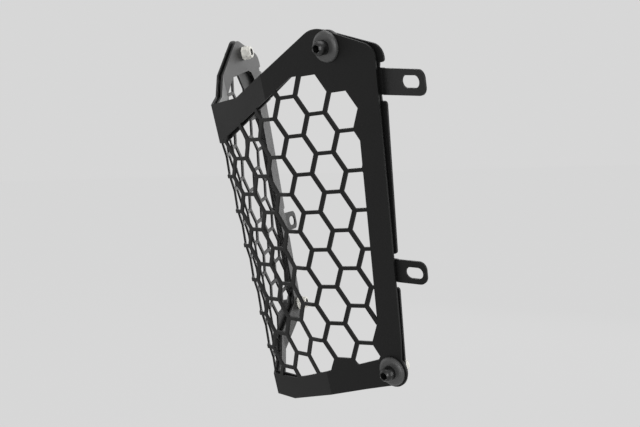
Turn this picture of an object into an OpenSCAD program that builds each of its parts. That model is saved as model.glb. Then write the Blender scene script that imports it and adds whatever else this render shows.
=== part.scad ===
// Headlight guard: a folded hexagon mesh grille on a folded carrier frame,
// held together by four rubber cushioned screws. It has no moving parts.
// X is across the guard, -Y is the front, +Z is up, all in millimetres.
// Both sheets are drawn flat as (x, y), x from the nose fold, then folded.

/* [Overall] */
// flat distance from the nose fold to the rear edge, level with the origin
half_w = 141.2; // [138:0.2:144]
// length of the nose fold from its upper to its lower end
nose_h = 186.3; // [184:0.1:188]

/* [Posture] */
// backward lean of the nose fold from the vertical, in degrees
rake = 12.7; // [5:0.5:20]
// sweep of the centre facets back from square across, in degrees
sweep_centre = 18.9; // [12:0.5:24]
// further fold from a centre facet to its wing, in degrees
sweep_wing = 12; // [6:0.5:18]
// distance along the sheet from the nose fold to a wing fold
fold_x = 60.2; // [58:0.2:62]

/* [Sheets] */
// thickness of the mesh grille sheet
grille_t = 1.2; // [1:0.1:1.8]
// thickness of the carrier frame sheet
frame_t = 1.2; // [1:0.1:2]
// clear space between the two sheets, filled by the inner washers
sheet_gap = 1.6; // [1.2:0.1:3]

/* [Mesh] */
// centre to centre distance of the hexagon cells
pitch = 22; // [21.8:0.1:22.2]
// width of a slanted web between two cells
web = 3; // [2.4:0.1:3.6]
// width of a level web between two cells of one column
web_level = 2; // [1.6:0.1:3]

/* [Band heights] */
// height of the apex of the top edge over each wing
apex_y = 35.3; // [34:0.1:37]
// rounding of that apex
apex_r = 16; // [8:1:20]
// rounding of the upper rear corner
corner_r = 8; // [4:0.5:9]
// radius of the pad round each lower screw
pad_r = 9.5; // [9:0.1:10.5]
// radius of the frame's pad behind it
frame_pad_r = 7.4; // [6.6:0.1:8.6]
// how far the frame's edges stay inside the grille's edges
frame_inset = 0.9; // [0.6:0.1:1.8]

/* [Tabs] */
// height of the upper tabs above the origin, along the sheet
tab_up_y = 0.2; // [-2:0.2:1]
// distance from the upper to the lower tab, along the sheet
tab_apart = 101.8; // [96:0.2:106]
// width of an upper mounting tab
tab_up_w = 13.2; // [11:0.2:14]
// width of a lower mounting tab
tab_lo_w = 12.4; // [11:0.2:13]
// length of an upper tab from its bend line
tab_up_len = 32; // [28:0.5:36]
// outward bend of an upper tab, in degrees
tab_up_bend = 12; // [4:1:20]
// distance of an upper slot's centre from the bend line
slot_up_at = 21.4; // [19:0.2:23]
// end to end length of an upper slot
slot_up_len = 13.4; // [10:0.2:14]
// length of a lower tab from its bend line
tab_lo_len = 18.6; // [17.5:0.2:22]
// inward bend of a lower tab, in degrees
tab_lo_bend = 6; // [2:1:12]
// distance of a lower slot's centre from the bend line
slot_lo_at = 11; // [10:0.2:11.4]
// end to end length of a lower slot
slot_lo_len = 10.6; // [9:0.2:12]
// width of every slot, clearance for an M6 screw
slot_w = 6.4; // [5.4:0.1:7]

/* [Fastening sets] */
// diameter of the rubber cushions and inner washers
rubber_d = 17.4; // [15:0.2:19]
// thickness of the cushion's flange outside the grille
cushion_t = 2.6; // [2:0.1:3.4]
// diameter of the cushion's neck, in the grille's hole
neck_d = 10.6; // [9:0.2:12]
// outside diameter of the spacer sleeve
sleeve_d = 7; // [6.4:0.1:8]
// length of the M5 socket screw's shank
screw_len = 12.5; // [12:0.5:13]

/* [Hidden] */
$fn = 48;
screw_d = 5;
head_d = 8.5;
head_h = 5;
socket_af = 4;
nut_af = 8;
nut_flange_d = 11;
nut_h = 7.1;
nut_flange_h = 1.1;
sleeve_bore = 5.4;
frame_hole = 5.5;
frame_h0 = grille_t + sheet_gap;
frame_h1 = frame_h0 + frame_t;
col_x = pitch * cos(30);
// upper and lower end of the nose fold, and the last column and row of cells
nose_top = 0.9;
low = nose_top - nose_h;
wall_h = nose_h + apex_y + 8;
m_last = floor((half_w - 26) / col_x);
k_last = floor((nose_h - 2) / pitch);
wing_a = sweep_centre + sweep_wing;
eps = 0.01;
// slope of the frame's rear edge on the wing, and each tab's turn from square to it
edge_tilt = -9.6;
tab_up_tilt = 6;
tab_lo_tilt = 2;
relief = 3.4;
tab_lo_y = tab_up_y - tab_apart;
// how far outside the fold line an edge changes its slope
past = 1.2;
// screw centres on the flat sheet
screw_up = [half_w - 28, apex_y - 11.9];
screw_lo = [half_w - 30, low + 26.8];

// rear edge of each sheet as x at a height y
function grille_rear(y) = half_w + 0.1444 * y;
function frame_rear(y) = half_w + 3.3 + 0.168 * y;

// a convex corner p with neighbours a and b, cut at its tangent points
function unit(v) = v / norm(v);
function half_ang(p, a, b) = acos(unit(a - p) * unit(b - p)) / 2;
function tan_len(p, a, b, r) = r / tan(half_ang(p, a, b));
function tan_pts(p, a, b, r) = [
  p + unit(a - p) * tan_len(p, a, b, r),
  p + unit(b - p) * tan_len(p, a, b, r)];
function arc_mid(p, a, b, r) =
  p + unit(unit(a - p) + unit(b - p)) * r / sin(half_ang(p, a, b));

// corner points of the top edge, shared by grille and frame
function top_bend(i) = [fold_x + past, 15.04 - i];
function apex(i) = [half_w - 35.4, apex_y - i];

// outline of the grille's right half
module grille_outline() {
  tb = top_bend(0);
  ap = apex(0);
  rc = [grille_rear(19.4), 19.4];
  lo = [grille_rear(low), low];
  cut_a = tan_pts(ap, tb, rc, apex_r);
  cut_c = tan_pts(rc, ap, lo, corner_r);
  polygon(concat([[-4, nose_top], [0, nose_top], [29.7, nose_top + 2.4], tb],
    [cut_a[0], cut_a[1]], [cut_c[0], cut_c[1]],
    [[grille_rear(low + 45.4), low + 45.4], [screw_lo[0] + 6, screw_lo[1] - 1.4],
    [screw_lo[0], screw_lo[1] - 8.5], [screw_lo[0] - 21.9, low + 14.4],
    [fold_x + past, low + 8.93], [18.6, low - 0.4], [0, low], [-4, low]]));
  translate(arc_mid(ap, tb, rc, apex_r)) circle(r = apex_r, $fn = 96);
  translate(arc_mid(rc, ap, lo, corner_r)) circle(r = corner_r);
  translate(screw_lo) circle(r = pad_r);
}

// the meshed area, between the bands
module mesh_area() {
  w = half_w;
  polygon([[-4, -22.6], [0, -22.6], [fold_x + past, 0.86], [w - 59, 10.5],
    [w - 34.4, 10.5], [w - 34.4, -0.5], [w - 15.2, -0.5], [w - 15.2, -20],
    [w - 18.2, -25.2], [w - 33, low + 60.4], [w - 34, low + 49.4],
    [w - 36.6, low + 35.4], [w - 38.6, low + 32.9], [w - 54.8, low + 29],
    [w - 59.2, low + 30.9], [w - 70.2, low + 30.9], [fold_x + 4.8, low + 24.4],
    [fold_x + past, low + 23.5], [25.7, low + 14.1], [0, low + 13.4],
    [-4, low + 13.4]]);
}

// one cell, with its level webs thinner than its slanted ones
module cell() {
  r = (pitch - web) / 2;
  y = (pitch - web_level) / 2;
  x = (r - y * sin(30)) / cos(30);
  c = r / cos(30);
  polygon([[c, 0], [x, y], [-x, y], [-c, 0], [-x, -y], [x, -y]]);
}

// every cell of the right half; column m, row k
module cells() {
  for (m = [-1:m_last])
    for (k = [-1:k_last])
      if (!(m == m_last && (k < 0 || k > k_last - 3)))
        translate([m * col_x, (m % 2 == 0) ? -(k + 0.5) * pitch : -k * pitch])
          cell();
}

module grille_flat() {
  difference() {
    grille_outline();
    intersection() { cells(); mesh_area(); }
  }
}

// outline of the frame's right half
module frame_outline() {
  i = frame_inset;
  tb = top_bend(i);
  ap = apex(i);
  rc = [frame_rear(19.4 - i), 19.4 - i];
  lo = [frame_rear(low + 36.4), low + 36.4];
  cut_a = tan_pts(ap, tb, rc, apex_r);
  cut_c = tan_pts(rc, ap, lo, corner_r);
  polygon(concat([[-4, nose_top - i], [0, nose_top - i], [29.7, nose_top + 2.4 - i], tb],
    [cut_a[0], cut_a[1]], [cut_c[0], cut_c[1]],
    [lo, [screw_lo[0] + frame_pad_r - 0.4, screw_lo[1] + 2],
    [screw_lo[0] + 2, screw_lo[1] - frame_pad_r + 0.4],
    [screw_lo[0] - 21.9, low + 14.4 + i], [fold_x + past, low + 8.93 + i],
    [18.6, low - 0.4 + i], [0, low + i], [-4, low + i]]));
  translate(arc_mid(ap, tb, rc, apex_r)) circle(r = apex_r, $fn = 96);
  translate(arc_mid(rc, ap, lo, corner_r)) circle(r = corner_r);
  translate(screw_lo) circle(r = frame_pad_r);
}

// the window inside the frame
module frame_window() {
  w = half_w;
  polygon([[-4, -21.4], [0, -21.4], [fold_x + past, 2.06], [w - 60.7, 11],
    [w - 24.2, 11], [w - 18.6, 9.2], [w - 15, 4.5], [w - 15.4, -10],
    [w - 32, low + 64.4], [w - 34.6, low + 44.4], [w - 37.2, low + 33.4],
    [w - 40.2, low + 29.9], [w - 54.8, low + 26.8], [fold_x + past, low + 21.6],
    [25.7, low + 13.5], [0, low + 12.6], [-4, low + 12.6]]);
}

// relief slots beside a tab's root on the rear edge, at height y
module reliefs(y, w) {
  for (s = [-1, 1])
    translate([frame_rear(y), y]) rotate(edge_tilt)
      translate([-3, s * (w / 2 + relief / 2 + 0.1) - relief / 2])
        square([8, relief]);
}

module frame_flat() {
  difference() {
    frame_outline();
    frame_window();
    reliefs(tab_up_y, tab_up_w);
    reliefs(tab_lo_y, tab_lo_w);
  }
}

// plan of one facet's sheet between two depths, mitred at the folds
function in_dir(a) = [-sin(a), cos(a)];
function fold_pt(h) = fold_x * [cos(sweep_centre), sin(sweep_centre)]
  + in_dir(sweep_centre + sweep_wing / 2) * h / cos(sweep_wing / 2);
function nose_pt(h) = [0, h / cos(sweep_centre)];
function end_pt(h) = fold_x * [cos(sweep_centre), sin(sweep_centre)]
  + (half_w - fold_x + 19) * [cos(wing_a), sin(wing_a)] + in_dir(wing_a) * h;

module centre_wall(h0, h1) {
  translate([0, 0, low - 4]) linear_extrude(height = wall_h)
    polygon([nose_pt(h0), fold_pt(h0), fold_pt(h1), nose_pt(h1)]);
}
module wing_wall(h0, h1) {
  translate([0, 0, low - 4]) linear_extrude(height = wall_h)
    polygon([fold_pt(h0), end_pt(h0), end_pt(h1), fold_pt(h1)]);
}

// children drawn as (x, y, outward), turned by a about the fold
module on_facet(a) {
  translate([fold_x * cos(sweep_centre), fold_x * sin(sweep_centre), 0])
    rotate([0, 0, sweep_centre + sweep_wing / 2]) rotate([0, 0, a])
      rotate([90, 0, 0]) translate([-fold_x, 0, 0]) children();
}
module on_centre() { on_facet(-sweep_wing / 2) children(); }
module on_wing() { on_facet(sweep_wing / 2) children(); }
module leaned() { rotate([rake, 0, 0]) children(); }
// s is 1 for the right side and -1 for the left side
module side(s) { leaned() mirror([s < 0 ? 1 : 0, 0, 0]) children(); }

// a folded sheet, right half, between two depths
module folded(h0, h1) {
  intersection() {
    centre_wall(h0, h1);
    on_centre() translate([0, 0, -h1 - 1])
      linear_extrude(height = h1 - h0 + 2) children();
  }
  intersection() {
    wing_wall(h0, h1);
    on_wing() translate([0, 0, -h1 - 1])
      linear_extrude(height = h1 - h0 + 2) children();
  }
}

module grille_half() {
  difference() {
    folded(0, grille_t) grille_flat();
    for (p = [screw_up, screw_lo])
      on_wing() translate([p[0], p[1], -grille_t - 1])
        cylinder(d = neck_d + 0.4, h = grille_t + 2);
  }
}

module grille() {
  color([0.09, 0.09, 0.09]) union() {
    side(1) grille_half();
    side(-1) grille_half();
  }
}

// one tab with its slot: x runs out from the bend line, y along it, z outward
module tab(w, len, slot_at, slot_len, tilt) {
  r = 3.2;
  difference() {
    intersection() {
      rotate([0, 0, tilt]) tab_blade(w, len, r);
      translate([0, -w, -frame_t]) cube([2 * len, 2 * w, 2 * frame_t]);
    }
    rotate([0, 0, tilt]) {
      for (s = [-1, 1])
        translate([slot_at + s * (slot_len - slot_w) / 2, 0, -frame_t])
          cylinder(d = slot_w, h = 2 * frame_t);
      translate([slot_at - (slot_len - slot_w) / 2, -slot_w / 2, -frame_t])
        cube([slot_len - slot_w, slot_w, 2 * frame_t]);
    }
  }
}

// the flat blade of a tab with two rounded corners
module tab_blade(w, len, r) {
  t = frame_t - 2 * eps;
  translate([-4, -w / 2, -t / 2]) cube([len + 4 - r, w, t]);
  translate([len - r - eps, -w / 2 + r, -t / 2])
    cube([r + eps, w - 2 * r, t]);
  for (s = [-1, 1])
    translate([len - r, s * (w / 2 - r), -t / 2])
      cylinder(r = r, h = t);
}

// puts a tab on the wing's rear edge at height y, bent outward by b
module tab_at(y, b) {
  on_wing() translate([frame_rear(y) - 1, y, -(frame_h0 + frame_h1) / 2])
    rotate([0, 0, edge_tilt]) rotate([0, -b, 0]) children();
}

module frame_half() {
  difference() {
    folded(frame_h0, frame_h1) frame_flat();
    for (p = [screw_up, screw_lo])
      on_wing() translate([p[0], p[1], -frame_h1 - 1])
        cylinder(d = frame_hole, h = frame_t + 2);
    // the rear edge is cut back to just outside each tab's bend line
    for (t = [[tab_up_y, tab_up_w], [tab_lo_y, tab_lo_w]])
      on_wing() translate([frame_rear(t[0]) - 1, t[0], -frame_h1 - 1])
        rotate([0, 0, edge_tilt]) translate([0.2, -t[1] / 2 - 0.1, 0])
          cube([4, t[1] + 0.2, frame_t + 2]);
  }
  tab_at(tab_up_y, tab_up_bend)
    tab(tab_up_w, tab_up_len, slot_up_at, slot_up_len, tab_up_tilt);
  tab_at(tab_lo_y, -tab_lo_bend)
    tab(tab_lo_w, tab_lo_len, slot_lo_at, slot_lo_len, tab_lo_tilt);
}

module frame() {
  color([0.10, 0.10, 0.10]) union() {
    side(1) frame_half();
    side(-1) frame_half();
  }
}

// children drawn along a screw's axis, z outward from the grille's face
module at_screw(s, p) {
  side(s) on_wing() translate([p[0], p[1], 0]) children();
}

module screw() {
  color([0.05, 0.05, 0.05]) difference() {
    union() {
      translate([0, 0, cushion_t]) rotate_extrude($fn = 64)
        polygon([[0, 0], [head_d / 2, 0], [head_d / 2, head_h - 0.6],
          [head_d / 2 - 0.6, head_h], [0, head_h]]);
      translate([0, 0, cushion_t - screw_len]) rotate_extrude()
        polygon([[0, 0], [screw_d / 2 - 0.5, 0], [screw_d / 2, 0.5],
          [screw_d / 2, screw_len + 1], [0, screw_len + 1]]);
    }
    translate([0, 0, cushion_t + head_h - 2.6])
      cylinder(d = socket_af / cos(30), h = 3.6, $fn = 6);
  }
}

// rubber cushion: a domed flange on the grille, a neck through its hole
module cushion() {
  color([0.14, 0.14, 0.14]) rotate_extrude($fn = 64)
    polygon([[sleeve_d / 2, -grille_t], [neck_d / 2, -grille_t],
      [neck_d / 2, 0], [rubber_d / 2, 0], [rubber_d / 2, cushion_t - 1.3],
      [rubber_d / 2 - 0.4, cushion_t - 0.5],
      [rubber_d / 2 - 1.3, cushion_t], [sleeve_d / 2, cushion_t]]);
}

module washer() {
  color([0.14, 0.14, 0.14]) translate([0, 0, -frame_h0]) rotate_extrude($fn = 64)
    polygon([[sleeve_d / 2, 0], [rubber_d / 2 - 0.3, 0], [rubber_d / 2, 0.3],
      [rubber_d / 2, sheet_gap - 0.3], [rubber_d / 2 - 0.3, sheet_gap],
      [sleeve_d / 2, sheet_gap]]);
}

module sleeve() {
  color([0.72, 0.71, 0.68]) translate([0, 0, -frame_h0]) rotate_extrude()
    polygon([[sleeve_bore / 2, 0], [sleeve_d / 2, 0],
      [sleeve_d / 2, frame_h0 + cushion_t], [sleeve_bore / 2, frame_h0 + cushion_t]]);
}

module nut() {
  color([0.75, 0.74, 0.70]) translate([0, 0, -frame_h1 - nut_h]) difference() {
    union() {
      translate([0, 0, 1.4]) cylinder(d = nut_af / cos(30), h = nut_h - 1.4 - eps, $fn = 6);
      cylinder(d = nut_af - 0.5, h = 2);
      translate([0, 0, nut_h - nut_flange_h - 0.9]) rotate_extrude()
        polygon([[0, 0], [nut_af / 2, 0], [nut_flange_d / 2, 0.9],
          [nut_flange_d / 2, 0.9 + nut_flange_h], [0, 0.9 + nut_flange_h]]);
    }
    translate([0, 0, -1]) cylinder(d = screw_d, h = nut_h + 2);
  }
}

module screw_ru() { at_screw(1, screw_up) screw(); }
module screw_lu() { at_screw(-1, screw_up) screw(); }
module screw_rl() { at_screw(1, screw_lo) screw(); }
module screw_ll() { at_screw(-1, screw_lo) screw(); }
module cushion_ru() { at_screw(1, screw_up) cushion(); }
module cushion_lu() { at_screw(-1, screw_up) cushion(); }
module cushion_rl() { at_screw(1, screw_lo) cushion(); }
module cushion_ll() { at_screw(-1, screw_lo) cushion(); }
module washer_ru() { at_screw(1, screw_up) washer(); }
module washer_lu() { at_screw(-1, screw_up) washer(); }
module washer_rl() { at_screw(1, screw_lo) washer(); }
module washer_ll() { at_screw(-1, screw_lo) washer(); }
module sleeve_ru() { at_screw(1, screw_up) sleeve(); }
module sleeve_lu() { at_screw(-1, screw_up) sleeve(); }
module sleeve_rl() { at_screw(1, screw_lo) sleeve(); }
module sleeve_ll() { at_screw(-1, screw_lo) sleeve(); }
module nut_ru() { at_screw(1, screw_up) nut(); }
module nut_lu() { at_screw(-1, screw_up) nut(); }
module nut_rl() { at_screw(1, screw_lo) nut(); }
module nut_ll() { at_screw(-1, screw_lo) nut(); }

grille();
frame();
screw_ru();
screw_lu();
screw_rl();
screw_ll();
cushion_ru();
cushion_lu();
cushion_rl();
cushion_ll();
washer_ru();
washer_lu();
washer_rl();
washer_ll();
sleeve_ru();
sleeve_lu();
sleeve_rl();
sleeve_ll();
nut_ru();
nut_lu();
nut_rl();
nut_ll();
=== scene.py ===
import math
from collections import namedtuple
import bpy, bmesh
from mathutils import Matrix, Vector


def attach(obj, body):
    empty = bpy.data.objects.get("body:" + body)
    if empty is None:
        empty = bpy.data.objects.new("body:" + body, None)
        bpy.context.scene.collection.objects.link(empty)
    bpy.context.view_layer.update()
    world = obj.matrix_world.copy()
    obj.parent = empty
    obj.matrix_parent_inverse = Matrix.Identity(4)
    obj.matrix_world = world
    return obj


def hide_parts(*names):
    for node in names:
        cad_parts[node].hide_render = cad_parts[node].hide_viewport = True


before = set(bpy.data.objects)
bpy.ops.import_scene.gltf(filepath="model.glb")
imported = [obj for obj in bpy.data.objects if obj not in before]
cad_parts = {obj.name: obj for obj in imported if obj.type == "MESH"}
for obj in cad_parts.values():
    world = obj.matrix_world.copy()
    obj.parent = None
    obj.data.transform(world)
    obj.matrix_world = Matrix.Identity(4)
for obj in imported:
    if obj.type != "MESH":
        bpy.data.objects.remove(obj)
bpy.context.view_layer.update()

rad = math.radians
COS30 = math.cos(rad(30))

# Camera, solved from the mesh's corners in the photograph.
LENS = 64.567
CAM_PLACE = Vector((0.683318, -0.143085, 0.015705))
CAM_RIGHT = Vector((0.29598882, 0.95518970, -0.00180466))
CAM_DOWN = Vector((0.10992829, -0.03594060, -0.99328951))
CAM_FORWARD = Vector((-0.94884477, 0.29380421, -0.11564038))

cam_data = bpy.data.cameras.new("camera")
cam_data.sensor_width = 36.0
cam_data.lens = LENS
cam_data.clip_start = 0.01
cam_data.clip_end = 30.0
cam = bpy.data.objects.new("camera", cam_data)
bpy.context.collection.objects.link(cam)
cam_axes = Matrix((CAM_RIGHT, -CAM_DOWN, -CAM_FORWARD)).transposed().to_4x4()
cam.matrix_world = Matrix.Translation(CAM_PLACE) @ cam_axes
bpy.context.scene.camera = cam
bpy.context.scene.view_settings.view_transform = "Standard"


# Node helpers.
def new_mat(name):
    """A new material, its node tree and its shader."""
    mat = bpy.data.materials.new(name)
    mat.use_nodes = True
    nt = mat.node_tree
    return mat, nt, nt.nodes["Principled BSDF"]


def node(nt, kind, **values):
    """A new node with values for its sockets, or else for its own settings."""
    n = nt.nodes.new(kind)
    for k, v in values.items():
        if k in n.inputs:
            n.inputs[k].default_value = v
        else:
            setattr(n, k, v)
    return n


def noise(nt, vec, scale, detail, rough=0.5):
    n = node(nt, "ShaderNodeTexNoise", Scale=scale, Detail=detail, Roughness=rough)
    nt.links.new(vec, n.inputs["Vector"])
    return n.outputs["Fac"]


def ramp(nt, fac, low, high, at=(0.3, 0.7)):
    """Colour, or grey for plain numbers, that goes from low to high between two levels of fac."""
    r = nt.nodes.new("ShaderNodeValToRGB")
    for stop, pos, col in zip(r.color_ramp.elements, at, (low, high)):
        stop.position = pos
        stop.color = (*col, 1.0) if isinstance(col, tuple) else (col, col, col, 1.0)
    nt.links.new(fac, r.inputs["Fac"])
    return r.outputs["Color"]


def times(tone, k):
    """A colour made darker or lighter."""
    return tuple(c * k for c in tone)


def coated(name, cloud, colours, roughs, grains, rough_at=(0.3, 0.7), **sockets):
    """Clouded colour and roughness with one or two layers of fine bump.

    cloud is the noise's scale, detail and roughness. Each grain is such a noise and
    the strength and distance of its bump. sockets are plain values of the shader."""
    mat, nt, bsdf = new_mat(name)
    vec = nt.nodes.new("ShaderNodeTexCoord").outputs["Object"]
    fac = noise(nt, vec, *cloud)
    nt.links.new(ramp(nt, fac, *colours), bsdf.inputs["Base Color"])
    nt.links.new(ramp(nt, fac, *roughs, rough_at), bsdf.inputs["Roughness"])
    normal = None
    for grain, strength, distance in grains:
        b = node(nt, "ShaderNodeBump", Strength=strength, Distance=distance)
        nt.links.new(noise(nt, vec, *grain), b.inputs["Height"])
        if normal:
            nt.links.new(normal, b.inputs["Normal"])
        normal = b.outputs["Normal"]
    nt.links.new(normal, bsdf.inputs["Normal"])
    for socket, value in sockets.items():
        bsdf.inputs[socket].default_value = value
    return mat


def powder_coat(name, tone, rough):
    """Satin black powder coat: fine orange peel, faint clouding and tiny specks."""
    peel, specks = (1500.0, 2.0, 0.55), (4200.0, 1.0, 0.5)
    return coated(name, (35.0, 4.0, 0.6), (times(tone, 0.86), times(tone, 1.14)),
                  (rough - 0.03, rough + 0.04), ((peel, 0.16, 0.0004), (specks, 0.10, 0.0002)),
                  (0.25, 0.75), **{"Specular IOR Level": 0.20})


def rubber(name):
    """Black rubber with a moulded grain."""
    return coated(name, (160.0, 4.0, 0.6), (0.052, 0.062), (0.36, 0.42),
                  (((3500.0, 2.0, 0.6), 0.2, 0.0002),))


def black_oxide(name):
    """Blackened steel, smoother and darker than the powder coat."""
    return coated(name, (240.0, 3.0, 0.6), (0.004, 0.007), (0.26, 0.34),
                  (((2500.0, 2.0), 0.12, 0.0002),), **{"Specular IOR Level": 0.5})


def zinc(name, tint, rough, metal):
    """Zinc plated steel with a cloudy colour and a fine grain."""
    return coated(name, (300.0, 4.0, 0.6), (times(tint, 0.88), tint),
                  (rough - 0.05, rough + 0.08), (((1800.0, 3.0), 0.15, 0.0002),),
                  Metallic=metal)


MAT = {
    "grille_black": powder_coat("grille_powder_coat", (0.0050, 0.0050, 0.0049), 0.50),
    "frame_black": powder_coat("frame_powder_coat", (0.0076, 0.0076, 0.0076), 0.46),
    "screw_black": black_oxide("screw_black_oxide"),
    "cushion_rubber": rubber("cushion_rubber_black"),
    "washer_rubber": rubber("washer_rubber_black"),
    "sleeve_steel": zinc("sleeve_zinc", (0.62, 0.61, 0.58), 0.35, 0.35),
    "nut_steel": zinc("nut_zinc", (0.86, 0.85, 0.79), 0.52, 0.0),
}
SLOTS = {"grille": "grille_black", "frame": "frame_black", "screw": "screw_black",
         "cushion": "cushion_rubber", "washer": "washer_rubber",
         "sleeve": "sleeve_steel", "nut": "nut_steel"}


def slot_of(node_name):
    """Material slot of a CAD node, such as screw_ru."""
    return SLOTS[node_name.split("_")[0]]


for name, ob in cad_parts.items():
    mat = MAT[slot_of(name)]
    if not ob.material_slots:
        ob.data.materials.append(mat)
    for s in ob.material_slots:
        s.material = mat


def stand_in(name, bm, node_name, finish=None):
    """Makes a piece of a mesh, with its material, and lets it stand for its CAD node."""
    slot = slot_of(node_name)
    me = bpy.data.meshes.new(name)
    bm.to_mesh(me)
    bm.free()
    if finish:
        finish(me)
    me.materials.append(MAT[slot])
    ob = bpy.data.objects.new(name, me)
    bpy.context.collection.objects.link(ob)
    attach(ob, "root")
    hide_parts(node_name)


# The two sheets. Flat sizes are in mm: x from the nose fold to the rear, y up from the
# origin's level, z outward from the grille's outer face. Angles are in degrees.
MM = 0.001
FOLD_X, LEAN, CENTRE, WING = 60.2, 12.7, 18.9, 12.0
SHEET_T, FRAME_MID_Z = 1.2, -3.4
REAR_TILT = -9.6
MIRROR = Matrix.Diagonal((-1, 1, 1, 1))


def facet(side, turn):
    """Flat sheet millimetres (x, y, outward) of one facet to metres in the frame."""
    fold = Vector((FOLD_X * math.cos(rad(CENTRE)), FOLD_X * math.sin(rad(CENTRE)), 0))
    m = (Matrix.Rotation(rad(LEAN), 4, "X") @ Matrix.Translation(fold)
         @ Matrix.Rotation(rad(CENTRE + turn), 4, "Z") @ Matrix.Rotation(rad(90), 4, "X")
         @ Matrix.Translation((-FOLD_X, 0, 0)))
    if side == "l":
        m = MIRROR @ m
    return Matrix.Scale(MM, 4) @ m


# Facets by side and by whether they are the wing; BACK goes from metres to flat mm.
FACETS = {(s, w): facet(s, WING if w else 0.0) for s in "rl" for w in (False, True)}
BACK = {k: v.inverted() for k, v in FACETS.items()}


def frame_rear(y):
    """Rear edge of the frame at a height, without its tabs."""
    return 144.5 + 0.168 * y


def grille_rear(y):
    """Rear edge of the grille at a height."""
    return 141.2 + 0.1444 * y


def line_y(points, x):
    """Height of a polyline, given by its corners, at x."""
    for (x0, y0), (x1, y1) in zip(points, points[1:]):
        if x <= x1:
            return y0 + (y1 - y0) * (x - x0) / (x1 - x0)
    return points[-1][1]


# Top edge over each wing: where it starts, over what length it comes down, how far.
TOP_Y, TOP_FROM, TOP_TO, TOP_FADE, TOP_DROP = 15.0, 75, 136, 15, 0.3


def lower_top(p):
    """Lowers a point of the top edge over a wing; says whether p was one."""
    if p.y > TOP_Y and TOP_FROM < p.x < TOP_TO:
        p.y -= TOP_DROP * min(1.0, (p.x - TOP_FROM) / TOP_FADE)
        return True
    return False


# Edges of the frame's window, above and below, as built and as the photo shows them.
WINDOW = (
    (((0, -21.4), (61.4, 2.06), (80.5, 11.0)),
     ((0, -24.4), (61.4, 0.6), (80.5, 10.4))),
    (((0, -172.8), (25.7, -171.9), (61.4, -163.8), (86.4, -158.6)),
     ((0, -171.1), (25.7, -171.5), (61.4, -163.5), (86.4, -158.6))),
)
PAST_NOSE, WINDOW_NEAR_X, WINDOW_NEAR = -0.5, 0.05, 0.08
# Lower end of the frame's rear edge, which lies level with the grille's edge in the photo.
REAR_END, REAR_END_NEAR, REAR_END_IN = (119.47, -149.0), 0.5, 2.3
# Upper end of the rear edge, above and below the upper tab.
REAR_TOP_FROM, REAR_TOP_TO, REAR_TOP_FADE, REAR_TOP_OUT = 138, 149.5, 4, 0.5
ABOVE_TAB, BELOW_TAB = 9.0, (-20, -8.3)


def reshape_frame(p):
    """The window's edges, the rear edge and the top edge as the photo shows them."""
    for old, new in WINDOW:
        if (PAST_NOSE <= p.x <= old[-1][0] + WINDOW_NEAR_X
                and abs(p.y - line_y(old, p.x)) < WINDOW_NEAR):
            p.y += line_y(new, p.x) - line_y(old, p.x)
            return p
    off_x, off_y = abs(p.x - REAR_END[0]), abs(p.y - REAR_END[1])
    if off_x < REAR_END_NEAR and off_y < REAR_END_NEAR:
        p.x -= REAR_END_IN
    elif (not lower_top(p) and REAR_TOP_FROM < p.x < REAR_TOP_TO
          and (p.y > ABOVE_TAB or BELOW_TAB[0] < p.y < BELOW_TAB[1])):
        p.x += REAR_TOP_OUT * min(1.0, (p.x - REAR_TOP_FROM) / REAR_TOP_FADE)
    return p


# Mesh: pitch of the cells, half a cell's size across its slanted and its level webs, and how
# far those webs' edges move out of the cell (below zero: into it).
PITCH, CELL_R, CELL_Y = 22.0, 9.5, 10.0
THIN, THIN_Y = 0.2, -0.045
COL = PITCH * COS30
SIDE_CORNER_X = CELL_R / COS30
TOP_CORNER = ((CELL_R - CELL_Y / 2) / COS30, CELL_Y)
CORNER_NEAR = 0.1


def thin_webs(p):
    """Moves a cell's corner, so that slanted webs get thinner and level ones a little wider."""
    for col in (math.floor(p.x / COL), math.floor(p.x / COL) + 1):
        shift = 0.5 if col % 2 == 0 else 0.0
        for row in (math.floor(-p.y / PITCH - shift), math.floor(-p.y / PITCH - shift) + 1):
            dx, dy = p.x - col * COL, p.y + (row + shift) * PITCH
            sx, sy = (1 if dx > 0 else -1), (1 if dy > 0 else -1)
            if math.hypot(abs(dx) - SIDE_CORNER_X, dy) < CORNER_NEAR:
                p.x += sx * THIN / COS30
                return p
            if math.hypot(abs(dx) - TOP_CORNER[0], abs(dy) - TOP_CORNER[1]) < CORNER_NEAR:
                p.x += sx * (THIN - THIN_Y / 2) / COS30
                p.y += sy * THIN_Y
                return p
    return p


# Rear strip of the grille: how wide a border moves out, how far above and below the height
# REAR_SPLIT, and the height where it ends. Points this near to a fold stay where they are.
REAR_BORDER, REAR_OUT, REAR_OUT_LOW, REAR_SPLIT, REAR_LOW = 3.5, 0.7, 0.4, -60, -141.0
NOSE_NEAR, FOLD_NEAR = 0.8, 0.4


def reshape_grille(p):
    """Thinner webs, the rear edge a little further out and the top edge a little lower."""
    rear = grille_rear(p.y)
    if p.y > REAR_LOW and p.x > rear - REAR_BORDER:
        out = REAR_OUT if p.y > REAR_SPLIT else REAR_OUT_LOW
        p.x += out * max(0.0, 1 - (rear - p.x) / REAR_BORDER)
    if lower_top(p) or p.x < NOSE_NEAR or abs(p.x - FOLD_X) < FOLD_NEAR:
        return p
    return thin_webs(p)


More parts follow.
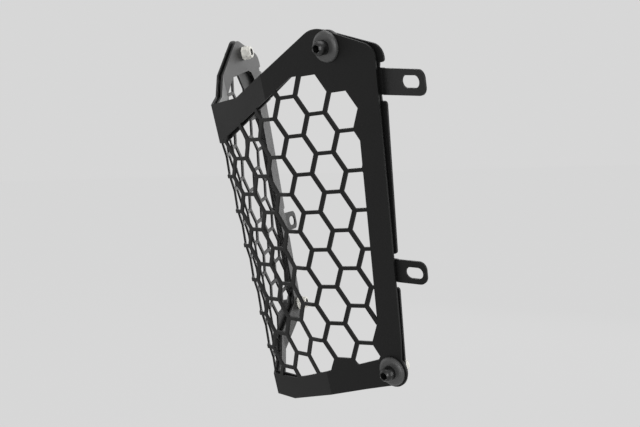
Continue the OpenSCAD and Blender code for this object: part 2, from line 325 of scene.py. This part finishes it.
# Mounting tabs, upper and lower: height on the rear edge, bend, width, length and tilt as
# built, then a further turn, the slot's centre and half length, how far the slot moves up,
# and the width added above at the root and at the end.
Tab = namedtuple("Tab", "y bend width length tilt turn slot_at slot_half lift more_root more_end")
TABS = (
    Tab(y=0.2, bend=12.0, width=13.2, length=32.0, tilt=6.0, turn=-1.3,
        slot_at=21.4, slot_half=6.7, lift=0.5, more_root=0.6, more_end=0.1),
    Tab(y=-101.6, bend=-6.0, width=12.4, length=18.6, tilt=2.0, turn=0.0,
        slot_at=11.0, slot_half=5.3, lift=0.0, more_root=0.5, more_end=0.5),
)
TAB_INSET = 1.0
TAB_CORNER, NEW_TAB_CORNER = 3.2, 4.5
NOTCH_REACH, NOTCH_ROUND = 3.5, 1.7
# Where the corners of a tab's root and of its flat end lie, in the tab's own mm.
ROOT_FROM, ROOT_TO, ROOT_DEEP = -3.6, 2.0, 1.4
END_FROM, END_PAST, END_DEEP = 7.0, 0.5, 0.9
SLOT_PAST, SLOT_NEAR = 0.1, 3.3
NOTCH_NEAR, NEAR, ON_ARC, SAME = 0.9, 0.3, 0.05, 0.02


def tab_frame(side, tab):
    """A tab's own flat mm, x along it from the bend, before its tilt."""
    at = (frame_rear(tab.y) - TAB_INSET, tab.y, FRAME_MID_Z)
    return (FACETS[(side, True)] @ Matrix.Translation(at)
            @ Matrix.Rotation(rad(REAR_TILT), 4, "Z") @ Matrix.Rotation(rad(-tab.bend), 4, "Y"))


def widen_root(bm, side, tab):
    """Moves the upper edge of a tab's root."""
    root = tab_frame(side, tab)
    back = root.inverted()
    for v in bm.verts:
        p = back @ v.co
        if (ROOT_FROM < p.x < ROOT_TO and abs(p.z) < ROOT_DEEP
                and abs(p.y - tab.width / 2) < NEAR):
            v.co = root @ (p + Vector((0, tab.more_root, 0)))


def reshape_tab(bm, side, tab):
    """Rounder end corners, the slot at its height, and the whole tab turned."""
    at = tab_frame(side, tab) @ Matrix.Rotation(rad(tab.tilt), 4, "Z")
    back = at.inverted()
    turned = at @ Matrix.Rotation(rad(tab.turn), 4, "Z")
    half, r = tab.width / 2, NEW_TAB_CORNER
    for v in bm.verts:
        p = back @ v.co
        if not (END_FROM < p.x < tab.length + END_PAST
                and abs(p.y) < half + NEAR and abs(p.z) < END_DEEP):
            continue
        s = 1 if p.y > 0 else -1
        d = Vector((p.x, p.y)) - Vector((tab.length - TAB_CORNER, s * (half - TAB_CORNER)))
        if d.x > -SAME and d.y * s > -SAME and abs(d.length - TAB_CORNER) < ON_ARC:
            q = Vector((tab.length - r, s * (half - r))) + d.normalized() * r
            p.x, p.y = q.x, q.y + (tab.more_end if s > 0 else 0.0)
        elif abs(p.x - tab.slot_at) < tab.slot_half + SLOT_PAST and abs(p.y) < SLOT_NEAR:
            p.y += tab.lift
        v.co = turned @ p


def notch_corners(bm, side, tab):
    """The rear strip's corners beside a tab's relief notches, as edges through the sheet."""
    back = (FACETS[(side, True)] @ Matrix.Translation((frame_rear(tab.y), tab.y, 0))
            @ Matrix.Rotation(rad(REAR_TILT), 4, "Z")).inverted()
    found = []
    for e in bm.edges:
        a, b = (back @ v.co for v in e.verts)
        through = (abs(abs(a.z - b.z) - SHEET_T) < SAME
                   and abs(a.x - b.x) < SAME and abs(a.y - b.y) < SAME)
        beside = abs(abs(a.y) - (tab.width / 2 + NOTCH_REACH)) < NEAR
        if through and beside and abs(a.x) < NOTCH_NEAR:
            found.append(e)
    return found


def bevel(bm, edges, width, segments):
    """Rounds edges by a width in mm and returns the new faces."""
    return bmesh.ops.bevel(bm, geom=edges, offset=width * MM, offset_type="OFFSET",
                           segments=segments, profile=0.5, affect="EDGES",
                           clamp_overlap=True)["faces"]


# Points nearer than this in metres are one. Faces within FLAT degrees are one plane, and
# edges over SHARP degrees get rounded, unless they meet one shorter than SHORT bevels.
MERGE, FLAT, SHARP, SHORT = 1e-6, 0.6, 45, 2.2


def sheet(name, node_name, round_edge, move):
    """A copy of one CAD sheet with rounded cut edges; the frame also gets its finer forms."""
    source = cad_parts[node_name]
    bm = bmesh.new()
    bm.from_mesh(source.data)
    bm.transform(source.matrix_world)
    bmesh.ops.remove_doubles(bm, verts=bm.verts, dist=MERGE)
    bmesh.ops.dissolve_limit(bm, angle_limit=rad(FLAT), verts=bm.verts, edges=bm.edges,
                             delimit={"NORMAL"})
    for v in bm.verts:
        side = "r" if v.co.x >= 0 else "l"
        flat = BACK[(side, False)] @ v.co
        wing = flat.x > FOLD_X
        if wing:
            flat = BACK[(side, True)] @ v.co
        v.co = FACETS[(side, wing)] @ move(flat)
    if node_name == "frame":
        tabs = [(side, tab) for side in "rl" for tab in TABS]
        for side, tab in tabs:
            widen_root(bm, side, tab)
            reshape_tab(bm, side, tab)
        bevel(bm, [e for side, tab in tabs for e in notch_corners(bm, side, tab)],
              NOTCH_ROUND, 6)
    short = {v for e in bm.edges if e.calc_length() < SHORT * round_edge * MM for v in e.verts}
    sharp = [e for e in bm.edges if e.calc_face_angle(0.0) > rad(SHARP)
             and not short.intersection(e.verts)]
    for f in bm.faces:
        f.smooth = False
    for f in bevel(bm, sharp, round_edge, 2):
        f.smooth = True
    stand_in(name, bm, node_name)


sheet("mesh_grille", "grille", 0.16, reshape_grille)
sheet("carrier_frame", "frame", 0.13, reshape_frame)

# Fasteners. Each is a stack of rings about its screw's axis, in mm: z out of the grille's
# outer face. Their screws go through the flat sheets at these places.
SCREWS = {"u": (113.2, 23.4), "l": (111.2, -158.6)}
SEGS = 48
HEX_TURN = 30.0


def screw_axis(side, p):
    """Screw frame in metres: z out of the grille's outer face, y up along the sheet."""
    m = FACETS[(side, True)]
    if side == "l":
        return m @ MIRROR @ Matrix.Translation((-p[0], p[1], 0))
    return m @ Matrix.Translation((p[0], p[1], 0))


def ring(radius, z, turn=0.0):
    """One ring of points; radius is a number or a function of the angle in degrees, and z is
    a number or a function of the radius."""
    pts = []
    for k in range(SEGS):
        deg = turn + 360.0 * k / SEGS
        r = radius(deg - turn) if callable(radius) else radius
        h = z(r) if callable(z) else z
        pts.append(Vector((r * math.cos(rad(deg)), r * math.sin(rad(deg)), h)))
    return pts


def hexagon(af):
    """Radius of a hexagon with its corners at 0, 60, 120 degrees."""
    return lambda deg: af / 2 / math.cos(rad(deg % 60.0 - 30.0))


def rounded(points, steps):
    """Profile with corners rounded: (r, z) is sharp, (r, z, reach) is a curve of that reach."""
    out = []
    for i, p in enumerate(points):
        c = Vector(p[:2])
        if len(p) == 2 or i in (0, len(points) - 1):
            out.append(c)
            continue
        a, b = Vector(points[i - 1][:2]) - c, Vector(points[i + 1][:2]) - c
        a = c + a.normalized() * min(p[2], a.length * 0.98)
        b = c + b.normalized() * min(p[2], b.length * 0.98)
        for k in range(steps + 1):
            t = k / steps
            out.append(a * (1 - t) ** 2 + c * 2 * t * (1 - t) + b * t * t)
    return out


def lathe(profile, turn=0.0):
    """One ring for each (r, z) of a profile."""
    return [ring(p.x, p.y, turn) for p in profile]


def solid(name, node_name, rings, matrix, capped, sharp):
    """Lofts rings into one closed skin and places it; a skin without caps ends where it began."""
    bm = bmesh.new()
    rows = [[bm.verts.new(p) for p in r] for r in rings]
    for a, b in zip(rows, rows[1:] if capped else rows[1:] + rows[:1]):
        for k in range(SEGS):
            n = (k + 1) % SEGS
            bm.faces.new((a[k], a[n], b[n], b[k]))
    if capped:
        bm.faces.new(list(reversed(rows[0])))
        bm.faces.new(rows[-1])
    bmesh.ops.recalc_face_normals(bm, faces=bm.faces)
    bm.transform(matrix)

    def shade(me):
        for f in me.polygons:
            f.use_smooth = True
        me.set_sharp_from_angle(angle=rad(sharp))
    stand_in(name, bm, node_name, shade)


# M5 thread: crest radius, depth, pitch, lowest point, and the rings that it is drawn with.
CREST, THREAD_DEPTH, THREAD_PITCH, TIP = 2.48, 0.42, 0.8, 2.6 - 13.15
THREAD_RINGS, THREAD_STEP, RUN_OUT = 33, 0.1, 4.0
# The head is part of a ball with this radius and centre height.
DOME_R, DOME_Z = 4.3, 5.2


def screw_rings():
    """M5 socket screw: cupped thread end, shank, domed head, hexagon socket."""
    rings = lathe([Vector((0.2, TIP + 1.6)), Vector((1.9, TIP + 1.4)), Vector((2.2, TIP + 0.1))],
                  HEX_TURN)
    for i in range(THREAD_RINGS):
        z = TIP + i * THREAD_STEP
        fade = min(1.0, i / RUN_OUT, (THREAD_RINGS - 1 - i) / RUN_OUT)
        lead_in = 0.22 * (1 - min(1.0, (z - TIP) / 0.4))

        def thread(deg, z=z, fade=fade, lead_in=lead_in):
            phase = ((z - TIP) / THREAD_PITCH - deg / 360.0) % 1.0
            return CREST - THREAD_DEPTH * fade * (1 - abs(2 * phase - 1)) - lead_in
        rings.append(ring(thread, z, HEX_TURN))
    dome = [(DOME_R * math.sin(rad(t)), DOME_Z + DOME_R * math.cos(rad(t)))
            for t in (66.7, 62, 57, 52, 47, 42, 37)]
    rings += lathe(rounded([(CREST, -6.5), (CREST, 2.6), (3.8, 2.6, 0.1), (3.95, 2.75, 0.1)]
                           + dome + [(2.46, 8.62), (2.34, 8.5)], 5), HEX_TURN)
    for radius, z in ((hexagon(4.0), 8.4), (hexagon(4.0), 4.2), (hexagon(3.7), 4.05), (0.15, 3.6)):
        rings.append(ring(radius, z, HEX_TURN))
    return rings


def cushion_rings():
    """Rubber cushion: neck in the grille's hole, flange with a bevelled, rounded rim."""
    return lathe(rounded([(3.5, 2.5), (3.5, -1.2), (5.1, -1.2, 0.1), (5.3, -1.0, 0.1), (5.3, 0),
                          (8.3, 0, 0.1), (8.45, 0.15, 0.12), (8.45, 0.85, 0.2), (8.15, 1.6, 0.2),
                          (7.55, 2.2, 0.2), (6.7, 2.6, 0.3), (3.7, 2.58, 0.1)], 4))


def washer_rings():
    """Rubber washer between the two sheets, with rounded rims."""
    return lathe(rounded([(3.5, -1.35), (3.5, -2.65), (3.65, -2.8), (8.45, -2.8, 0.2),
                          (8.7, -2.55, 0.2), (8.7, -1.45, 0.2), (8.45, -1.2, 0.2),
                          (3.65, -1.2)], 3))


def nut_rings():
    """M5 flange nut: bearing face, flange, cone into the hexagon, chamfer, collar, bore."""
    rings = lathe(rounded([(2.5, -4.4), (2.8, -4.02), (4.3, -4.02, 0.1), (4.5, -4.3, 0.2),
                           (4.5, -4.75, 0.15), (4.4, -4.85)], 4), HEX_TURN)
    six = hexagon(8.0)
    rings.append(ring(six, lambda r: -4.9 - (4.7 - r) * 0.9, HEX_TURN))
    rings.append(ring(six, lambda r: -8.7 + (r - 4.0) * 0.75, HEX_TURN))
    rings.append(ring(3.97, -8.75, HEX_TURN))
    rings += lathe(rounded([(3.97, -8.9), (3.97, -10.6, 0.55), (2.7, -10.6, 0.1),
                            (2.55, -10.4, 0.1), (2.52, -10.2)], 5), HEX_TURN)
    return rings


# Name, CAD node, rings, whether the ends are capped, and the angle that stays sharp.
FASTENERS = (
    ("socket_screw_", "screw_", screw_rings, True, 32.0),
    ("rubber_cushion_", "cushion_", cushion_rings, False, 40.0),
    ("rubber_washer_", "washer_", washer_rings, False, 32.0),
    ("flange_nut_", "nut_", nut_rings, False, 32.0),
)
for side in "rl":
    for row, p in SCREWS.items():
        key, at = side + row, screw_axis(side, p)
        for name, node_name, rings, capped, sharp in FASTENERS:
            solid(name + key, node_name + key, rings(), at, capped, sharp)


# Floor and world, which both show their own plain tone to the camera.
TONE, FLOOR_TONE, FLOOR_SHARE = 0.680, 0.687, 0.97
FLOOR_HALF, FLOOR_Z = 6.0, -0.55


def seen(nt):
    """1 for rays from the camera, reflected or let through, and 0 for light on the object."""
    path = nt.nodes.new("ShaderNodeLightPath")
    out = path.outputs["Is Camera Ray"]
    for kind in ("Is Glossy Ray", "Is Transmission Ray"):
        either = node(nt, "ShaderNodeMath", operation="MAXIMUM")
        nt.links.new(out, either.inputs[0])
        nt.links.new(path.outputs[kind], either.inputs[1])
        out = either.outputs[0]
    return out


def mixed(nt, share, first, second, surface):
    """Mixes two shaders, none to all of the second, into an output's surface."""
    mix = nt.nodes.new("ShaderNodeMixShader")
    for source, socket in zip((share, first, second), mix.inputs):
        nt.links.new(source, socket)
    nt.links.new(mix.outputs[0], surface)


def flat_mat(name, tone, share):
    """Pale matt surface, mostly of its own plain tone to the camera and in reflections."""
    mat, nt, bsdf = new_mat(name)
    vec = nt.nodes.new("ShaderNodeTexCoord").outputs["Object"]
    col = ramp(nt, noise(nt, vec, 3.0, 2.0), tone * 0.995, tone * 1.005)
    nt.links.new(col, bsdf.inputs["Base Color"])
    bsdf.inputs["Roughness"].default_value = 0.9
    bsdf.inputs["Specular IOR Level"].default_value = 0.0
    glow = node(nt, "ShaderNodeEmission", Color=(tone, tone, tone, 1))
    part = node(nt, "ShaderNodeMath", operation="MULTIPLY")
    nt.links.new(seen(nt), part.inputs[0])
    part.inputs[1].default_value = share
    mixed(nt, part.outputs[0], bsdf.outputs[0], glow.outputs[0],
          nt.nodes["Material Output"].inputs["Surface"])
    return mat


me = bpy.data.meshes.new("floor")
me.from_pydata([(x * FLOOR_HALF, y * FLOOR_HALF, FLOOR_Z)
                for x, y in ((-1, -1), (1, -1), (1, 1), (-1, 1))], [], [(0, 1, 2, 3)])
me.materials.append(flat_mat("floor_pale", FLOOR_TONE, FLOOR_SHARE))
floor = bpy.data.objects.new("floor", me)
bpy.context.collection.objects.link(floor)

world = bpy.data.worlds.new("world")
bpy.context.scene.world = world
world.use_nodes = True
wt = world.node_tree
fill = wt.nodes["Background"]
fill.inputs["Color"].default_value = (0.5, 0.5, 0.5, 1)
fill.inputs["Strength"].default_value = 0.6
backdrop = node(wt, "ShaderNodeBackground", Color=(TONE, TONE, TONE, 1), Strength=1.0)
mixed(wt, seen(wt), fill.outputs[0], backdrop.outputs[0],
      wt.nodes["World Output"].inputs["Surface"])

# Lamps, each a soft rectangle that faces the guard's middle: place, size and power.
MIDDLE = Vector((0.0, 0.045, -0.07))
LAMPS = {
    "lamp_top": ((0.1, 0.2, 1.6), (1.6, 1.6), 13.0),
    "lamp_back": ((-1.5, 1.3, 0.35), (1.8, 1.4), 15.0),
    "lamp_left": ((-1.0, -1.3, 0.1), (1.0, 1.2), 3.0),
    "lamp_right": ((1.5, -0.33, 0.03), (0.4, 1.0), 8.5),
    "lamp_edge": ((0.6, 1.4, 0.15), (0.6, 1.0), 7.0),
    "lamp_front": ((1.0, -1.05, 0.23), (0.6, 0.8), 2.0),
}
for name, (place, size, power) in LAMPS.items():
    light = bpy.data.lights.new(name, "AREA")
    light.shape = "RECTANGLE"
    light.size, light.size_y = size
    light.energy = power
    lamp = bpy.data.objects.new(name, light)
    bpy.context.collection.objects.link(lamp)
    lamp.location = place
    lamp.rotation_mode = "QUATERNION"
    lamp.rotation_quaternion = (MIDDLE - Vector(place)).to_track_quat("-Z", "Y")
